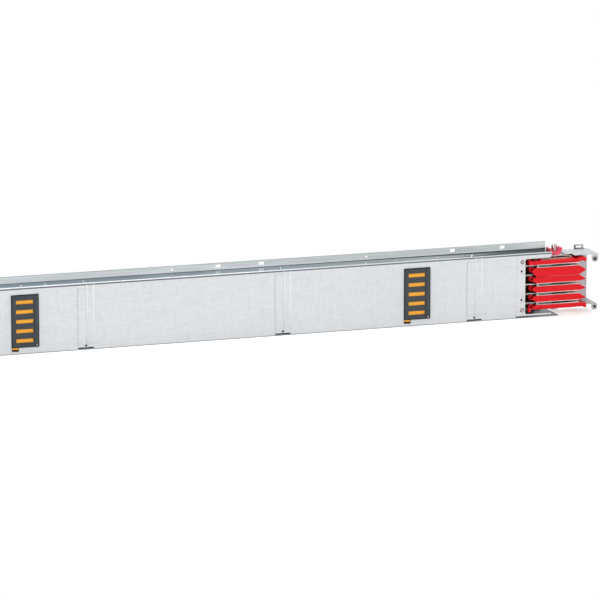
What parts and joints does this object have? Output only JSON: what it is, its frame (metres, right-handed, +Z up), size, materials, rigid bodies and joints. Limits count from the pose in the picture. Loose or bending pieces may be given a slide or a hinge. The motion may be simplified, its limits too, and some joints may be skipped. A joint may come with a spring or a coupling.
{
  "type": "busway section",
  "caption": "Straight length of slim sheet-steel busway with flat bars, shuttered tap-off outlets and an open bolted joint at one end.",
  "frame": {"origin": "on the bottom face, midway between the two joint centres, at half depth", "axes": "+X along the section towards the open joint, -Y out of the outlet side, +Z up"},
  "size_m": [2.0925, 0.0802, 0.1815],
  "materials": {
    "painted_sheet": "light grey coated steel sheet, satin",
    "bar_metal": "plain aluminium bar",
    "contact_metal": "silver-coated copper alloy",
    "dark_moulding": "dark grey moulding",
    "orange_moulding": "orange moulding",
    "red_moulding": "red insulating moulding",
    "zinc_steel": "zinc-coated steel"
  },
  "bodies": {
    "section": {"front_plate": "painted_sheet", "back_plate": "painted_sheet", "top_rail": "painted_sheet", "bottom_channel": "painted_sheet", "end_plate": "painted_sheet", "joint_channel": "painted_sheet", "conductor_bar_1": "bar_metal", "conductor_bar_2": "bar_metal", "conductor_bar_3": "bar_metal", "conductor_bar_4": "bar_metal", "conductor_bar_5": "bar_metal", "bar_support_1": "dark_moulding", "bar_support_2": "dark_moulding", "bar_support_3": "dark_moulding", "bar_support_4": "dark_moulding", "outlet_frame_1": "dark_moulding", "outlet_frame_2": "dark_moulding", "barrier_1": "red_moulding", "barrier_2": "red_moulding", "barrier_3": "red_moulding", "barrier_4": "red_moulding", "top_insulator": "red_moulding", "bottom_insulator": "red_moulding", "contact_lower_1": "contact_metal", "contact_upper_1": "contact_metal", "contact_lower_2": "contact_metal", "contact_upper_2": "contact_metal", "contact_lower_3": "contact_metal", "contact_upper_3": "contact_metal", "contact_lower_4": "contact_metal", "contact_upper_4": "contact_metal", "contact_lower_5": "contact_metal", "contact_upper_5": "contact_metal", "pressure_plate_top": "zinc_steel", "pressure_plate_bottom": "zinc_steel", "spring_plate": "zinc_steel", "bolt_saddle": "red_moulding", "joint_bolt": "zinc_steel", "bolt_sleeve": "dark_moulding", "bolt_nut": "zinc_steel", "cover_hook": "zinc_steel", "cover_screw_1": "zinc_steel", "cover_screw_2": "zinc_steel", "cover_screw_3": "zinc_steel", "cover_screw_4": "zinc_steel"},
    "shutter_1": {"outlet_shutter_1": "orange_moulding"},
    "shutter_2": {"outlet_shutter_2": "orange_moulding"}
  },
  "joints": [
    {"name": "outlet_1_shutter_slide", "type": "slide", "parent": "section", "child": "shutter_1", "axis": [0, 0, 1], "range_m": [0, 0.0104]},
    {"name": "outlet_2_shutter_slide", "type": "slide", "parent": "section", "child": "shutter_2", "axis": [0, 0, 1], "range_m": [0, 0.0104]}
  ]
}
